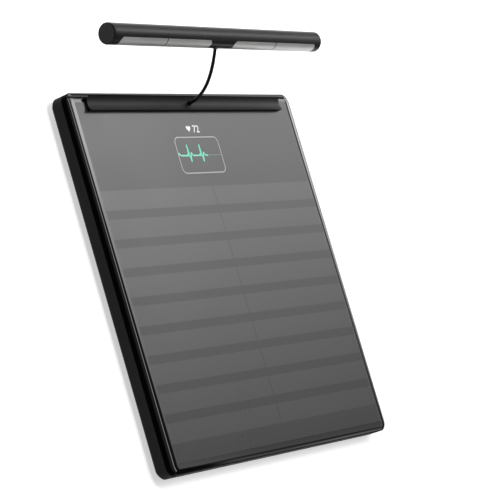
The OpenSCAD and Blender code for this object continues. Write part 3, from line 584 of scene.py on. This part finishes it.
class SCALE_OT_glass(bpy.types.Operator):
    """Makes the glass plate: a flat satin face, a smooth polished rim, and a painted side"""
    bl_idname = "scale.glass"
    bl_label = "Glass"

    def execute(self, context):
        settings = context.scene.scale_finish
        nothing_selected()
        mesh = frame["nodes"]["glass_plate"].data.copy()
        glass = bpy.data.objects.new("glass_platform", mesh)
        context.collection.objects.link(glass)
        only(glass)
        bpy.ops.object.mode_set(mode="EDIT")
        bpy.ops.mesh.select_all(action="SELECT")
        bpy.ops.mesh.remove_doubles(threshold=0.002 * MM)
        bpy.ops.object.mode_set(mode="OBJECT")
        smooth(glass)
        for facet in glass.data.polygons:
            facet.use_smooth = abs(facet.normal.z) < FLAT
        bpy.ops.object.modifier_add(type="WEIGHTED_NORMAL")
        glass.modifiers[-1].keep_sharp = True
        bpy.ops.object.modifier_apply(modifier=glass.modifiers[-1].name)
        face = finish("platform_glass", handled_gloss, settings.glass, settings.face_roughness,
                      shader={"IOR": 1.5})
        rim = finish("polished_rim", handled_gloss, (0.003, 0.003, 0.003), settings.rim_roughness,
                     shader={"IOR": 1.5}, Roughness_spread=0.01)
        side = finish("painted_side", handled_gloss, (0.001, 0.001, 0.001), 0.25,
                      shader={"Specular IOR Level": 0.005})
        dress(glass, face, rim, side)
        for facet in glass.data.polygons:
            up = facet.normal.z
            facet.material_index = 0 if up > FLAT or up <= -FLAT else (1 if up > STEEP else 2)
        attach(glass, "base")
        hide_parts("glass_plate")
        return {"FINISHED"}


class SCALE_OT_finishes(bpy.types.Operator):
    """Gives each part of the frame its finish"""
    bl_idname = "scale.finishes"
    bl_label = "Finishes"

    def slot(self, slot, *look, name=None, **more):
        """Makes a finish and gives it to every part of the frame with that slot."""
        made = finish(name or slot, *look, **more)
        for part in frame["record"]["subparts"]:
            if part["material_slot"] == slot:
                dress(frame["nodes"][part["node"]], made)

    def execute(self, context):
        chosen = context.scene.scale_finish
        look = self.slot
        look("strip_coating", handled_gloss, chosen.strips, chosen.strip_roughness,
             shader={"IOR": 1.58})
        # The mid frame's band is near black and reflects almost nothing: painted shade that stands
        # in for the shadow in the gap between glass and base
        look("frame_gloss", handled_gloss, (0.001, 0.001, 0.001), 0.2,
             shader={"Specular IOR Level": 0.005})
        look("case_matt", moulded_grain, chosen.base, 0.62, bump=0.35,
             shader={"Specular IOR Level": 0.08}, Colour_spread=0.1)
        look("inner_plastic", moulded_grain, (0.03, 0.03, 0.032), 0.5, bump=0.2)
        look("soft_rubber", moulded_grain, (0.010, 0.010, 0.010), 0.7, bump=0.3,
             shader={"Specular IOR Level": 0.25})
        look("pad_rubber", moulded_grain, (0.06, 0.06, 0.062), 0.75, bump=0.5,
             shader={"Specular IOR Level": 0.25}, Grain_size=900.0)
        look("tape_foam", moulded_grain, (0.03, 0.03, 0.03), 0.9, bump=0.6, Grain_size=700.0)
        look("display_panel", handled_gloss, (0.01, 0.03, 0.025), 0.15)
        look("board", handled_gloss, (0.01, 0.08, 0.04), 0.35, Colour_spread=0.25)
        look("film", handled_gloss, (0.45, 0.17, 0.03), 0.3, Colour_spread=0.15)
        look("battery_wrap", handled_gloss, (0.04, 0.10, 0.26), 0.25)
        look("wire_red", moulded_grain, (0.35, 0.01, 0.01), 0.45)
        look("wire_white", moulded_grain, (0.6, 0.6, 0.6), 0.45)
        look("steel", brushed_metal, (0.56, 0.56, 0.57), 0.3, shader={"Metallic": 1.0})
        look("electrode_steel", brushed_metal, chosen.steel, 0.5, bump=0.15,
             bump_distance=0.01 * MM, shader={"Metallic": 1.0}, Colour_spread=0.04,
             Roughness_spread=0.05)
        look("spring_steel", brushed_metal, (0.35, 0.35, 0.37), 0.35, shader={"Metallic": 1.0})
        look("cord_jacket", moulded_grain, (0.008, 0.008, 0.008), 0.45, name="wound_cord")
        look("handle_plastic", moulded_grain, chosen.handle, 0.30, bump=0.15,
             shader={"Specular IOR Level": 0.16}, Grain_size=2000.0)
        look("dock_plastic", moulded_grain, (0.005, 0.005, 0.0053), 0.46, bump=0.15,
             shader={"Specular IOR Level": 0.19}, Grain_size=2000.0)
        look("pulley_plastic", moulded_grain, (0.6, 0.6, 0.58), 0.4)
        return {"FINISHED"}


class SCALE_OT_studio(bpy.types.Operator):
    """Sets up the floor, the lamps, the cards that the glass mirrors, and the surround"""
    bl_idname = "scale.studio"
    bl_label = "Studio"

    # The floor's own light rises between these two places behind the part, up to this level:
    # painted light that washes out the handle's shadow on the floor there
    behind = (0.12, 0.18)
    behind_level = 0.9
    # And between these two distances from the part, up to white
    away = (0.35, 0.9)
    # Levels at places along and up the tall card, for its upper and its lower part
    upper_along = [(-1.02, 0.15), (-0.93, 0.8), (-0.74, 0.8), (-0.62, 0.2), (-0.46, 0.2),
                   (-0.38, 0.8), (-0.10, 0.65), (0.02, 0.9), (0.45, 2.5), (0.62, 4.2),
                   (0.85, 2.9), (1.0, 2.4), (2.2, 2.4)]
    upper_up = [(0.87, 1.6), (0.93, 0.85), (1.2, 1.0), (1.35, 1.4), (1.5, 1.8)]
    lower_along = [(-0.45, 0.1), (-0.15, 0.9), (0.0, 2.0), (0.31, 3.2), (0.45, 3.9), (0.6, 3.0),
                   (0.9, 0.9)]
    lower_up = [(0.0, 0.2), (0.21, 0.47), (0.44, 0.95), (0.6, 1.45)]
    # Soft edges of those parts: how steeply each rises along the card, its start and its end
    upper_foot = (0.15, 0.765, 0.81)
    upper_head = (0.6, 1.555, 1.64)
    lower_head = (0.65, 0.46, 0.53)
    # The last of them rises as far as this place along the card, and is level from there
    lower_level_from = 0.35
    # Levels at places across the card overhead
    top_across = [(-0.50, 0.02), (-0.35, 0.10), (-0.1, 0.18), (0.72, 0.25), (0.76, 4.2),
                  (0.99, 4.2), (1.05, 0.05)]
    # Each lamp's place, the point it faces, and its width and length
    soft_box = {"at": (-0.1, 0.2, 1.7), "aim": (-0.1, 0.2, 0), "size": (0.75, 1.5)}
    key_lamp = {"at": (-0.2, 0.2, 1.6), "aim": (0, 0.1, 0), "size": (0.25, 1.0)}

    def in_view(self, tree):
        """One for rays that show a thing, straight, mirrored or through glass, and else zero."""
        ray = node(tree, "ShaderNodeLightPath")
        seen = maths(tree, "MAXIMUM", ray.outputs["Is Camera Ray"], ray.outputs["Is Glossy Ray"])
        return maths(tree, "MAXIMUM", seen, ray.outputs["Is Transmission Ray"])

    def floor(self, context, settings):
        """A floor that shines where it is seen, less near the part so that its shadow shows, and
        brighter behind the part: painted light that hides the handle's shadow there.
        """
        nothing_selected()
        bpy.ops.mesh.primitive_plane_add(size=12, location=(0, 0, 0))
        floor = context.object
        floor.name = "studio_floor"
        made, tree, place = emptied("studio_floor")
        paint = node(tree, "ShaderNodeBsdfDiffuse", {"Color": (*settings.floor, 1)})
        axes = node(tree, "ShaderNodeSeparateXYZ", {0: place})
        distance = node(tree, "ShaderNodeVectorMath", {0: place}, operation="LENGTH")
        lit = maths(tree, "MAXIMUM",
                    # Painted light: the floor glows brighter behind the part, where the handle's
                    # shadow would fall
                    ramp(tree, axes.outputs["Y"], *self.behind, settings.glow, self.behind_level),
                    ramp(tree, distance.outputs["Value"], *self.away, settings.glow, 1.0))
        strength = maths(tree, "MULTIPLY", self.in_view(tree), lit)
        glow = node(tree, "ShaderNodeEmission", {"Strength": strength})
        both = node(tree, "ShaderNodeAddShader", {0: paint.outputs[0], 1: glow.outputs[0]})
        node(tree, "ShaderNodeOutputMaterial", {"Surface": both.outputs[0]})
        dress(floor, made)

    def glowing(self, name, level, settings):
        """A material that shines by level(tree, settings, x, y, z), a socket or a number."""
        made, tree, place = emptied(name)
        axes = node(tree, "ShaderNodeSeparateXYZ", {0: place})
        strength = level(tree, settings, *(axes.outputs[axis] for axis in "XYZ"))
        glow = node(tree, "ShaderNodeEmission", {"Strength": strength})
        node(tree, "ShaderNodeOutputMaterial", {"Surface": glow.outputs[0]})
        return made

    def steps(self, tree, value, stops):
        """A level that runs straight from stop to stop, each stop a place and its level."""
        level = stops[0][1]
        for (start, low), (end, high) in zip(stops, stops[1:]):
            if low != high:
                level = maths(tree, "ADD", ramp(tree, value, start, end, 0.0, high - low), level)
        return level

    def product(self, tree, *factors):
        """The product of two or more levels."""
        level = factors[0]
        for factor in factors[1:]:
            level = maths(tree, "MULTIPLY", level, factor)
        return level

    def edge(self, tree, y, z, slant, start, end, low, high):
        """A level that goes from low to high between two lines across the card."""
        height = maths(tree, "MULTIPLY_ADD", y, -slant, z)
        return ramp(tree, height, start, end, low, high, "SMOOTHSTEP")

    def card_level(self, tree, settings, x, y, z):
        """Levels of the tall card: a graded upper part, a dark gap, and a low bright part."""
        upper = self.product(tree, self.steps(tree, y, self.upper_along),
                             self.steps(tree, z, self.upper_up),
                             self.edge(tree, y, z, *self.upper_foot, 0.0, 1.0),
                             self.edge(tree, y, z, *self.upper_head, 1.0, 0.0))
        slanting = maths(tree, "MINIMUM", y, self.lower_level_from)
        lower = self.product(tree, self.steps(tree, y, self.lower_along),
                             self.steps(tree, z, self.lower_up),
                             self.edge(tree, slanting, z, *self.lower_head, 1.0, 0.02))
        return maths(tree, "MULTIPLY", maths(tree, "MAXIMUM", upper, lower), settings.card)

    def top_level(self, tree, settings, x, y, z):
        """Levels of the card overhead: dim, with a bright band along its right side."""
        across = self.steps(tree, maths(tree, "MULTIPLY_ADD", y, 0.25, x), self.top_across)
        return maths(tree, "MULTIPLY", across, settings.top)

    def ceiling_level(self, tree, settings, x, y, z):
        """Level of the ceiling: dark all over."""
        return 0.03

    def wall_level(self, tree, settings, x, y, z):
        """Levels of the wall behind the camera: dim at its foot, and black above."""
        return ramp(tree, z, 0.6, 1.1, 0.15, 0.0)

    def card(self, context, settings, name, at, size, turn, level):
        """A plane turned about the Y axis, that shines by a level and is only mirrored."""
        nothing_selected()
        bpy.ops.mesh.primitive_plane_add(size=1, location=at, rotation=(0, turn, 0))
        made = context.object
        made.name = name
        made.scale = (*size, 1)
        settle(made)
        dress(made, self.glowing(name, level, settings))
        made.visible_camera = False
        made.visible_diffuse = False
        made.visible_shadow = False
        made.visible_transmission = False

    def cards(self, context, settings):
        """The card beyond the right side, the one overhead, and a ceiling and wall round them."""
        # Each one's name, middle, size, turn and levels
        for made in (
            ("studio_card", (1.6, 0, 1.15), (2.3, 4.4), -math.pi / 2, self.card_level),
            ("studio_ceiling", (0, 0, 2.4), (8, 8), 0, self.ceiling_level),
            ("studio_wall", (-3.2, 0, 1.2), (2.4, 8), math.pi / 2, self.wall_level),
            ("studio_top", (0.4, 0.25, 1.75), (1.8, 2.2), 0, self.top_level),
        ):
            self.card(context, settings, *made)

    def lamp(self, context, name, power, at, aim, size):
        """A lamp that lights the part and isn't mirrored in it."""
        nothing_selected()
        turn = (Vector(aim) - Vector(at)).to_track_quat("-Z", "Y").to_euler()
        bpy.ops.object.light_add(type="AREA", location=at, rotation=turn)
        lamp = context.object
        lamp.name = name
        lamp.data.shape = "RECTANGLE"
        lamp.data.size, lamp.data.size_y = size
        lamp.data.energy = power
        lamp.visible_glossy = False

    def surround(self, context, settings):
        """White all round where it is seen, and a dimmer light from there."""
        world = bpy.data.worlds.new("surround")
        context.scene.world = world
        world.use_nodes = True
        tree = world.node_tree
        tree.nodes.clear()
        level = ramp(tree, self.in_view(tree), 0.0, 1.0, settings.sky, 1.0)
        sky = node(tree, "ShaderNodeBackground", {"Color": (1, 1, 1, 1), "Strength": level})
        node(tree, "ShaderNodeOutputWorld", {"Surface": sky.outputs[0]})

    def execute(self, context):
        settings = context.scene.scale_studio
        self.floor(context, settings)
        self.cards(context, settings)
        self.lamp(context, "soft_box", settings.lamp, **self.soft_box)
        self.lamp(context, "key_lamp", settings.key, **self.key_lamp)
        self.surround(context, settings)
        context.scene.view_settings.view_transform = "Standard"
        return {"FINISHED"}


class SCALE_PT_panel(bpy.types.Panel):
    """Lists the steps that dress the scale"""
    bl_label = "Smart bathroom scale"
    bl_idname = "SCALE_PT_panel"
    bl_space_type = "VIEW_3D"
    bl_region_type = "UI"
    bl_category = "Scale"

    def draw(self, context):
        for label, group in SETTINGS.items():
            box = self.layout.box()
            box.label(text=group.__name__.replace("Settings", ""))
            for key in group.__annotations__:
                box.prop(getattr(context.scene, label), key)
        for step in STEPS:
            self.layout.operator(step.bl_idname)


SETTINGS = {
    "scale_cord": CordSettings,
    "scale_display": DisplaySettings,
    "scale_finish": FinishSettings,
    "scale_studio": StudioSettings,
}
STEPS = [SCALE_OT_camera, SCALE_OT_cord, SCALE_OT_finishes, SCALE_OT_glass, SCALE_OT_display,
         SCALE_OT_studio]


def register():
    for group in SETTINGS.values():
        bpy.utils.register_class(group)
    for label, group in SETTINGS.items():
        setattr(bpy.types.Scene, label, bpy.props.PointerProperty(type=group))
    for step in STEPS:
        bpy.utils.register_class(step)
    bpy.utils.register_class(SCALE_PT_panel)


def unregister():
    bpy.utils.unregister_class(SCALE_PT_panel)
    for step in reversed(STEPS):
        bpy.utils.unregister_class(step)
    for label in SETTINGS:
        delattr(bpy.types.Scene, label)
    for group in reversed(list(SETTINGS.values())):
        bpy.utils.unregister_class(group)


def main():
    register()
    bpy.ops.scale.camera()
    bpy.ops.scale.cord()
    bpy.ops.scale.finishes()
    bpy.ops.scale.glass()
    bpy.ops.scale.display()
    bpy.ops.scale.studio()
    bpy.context.view_layer.update()


if __name__ == "__main__":
    main()
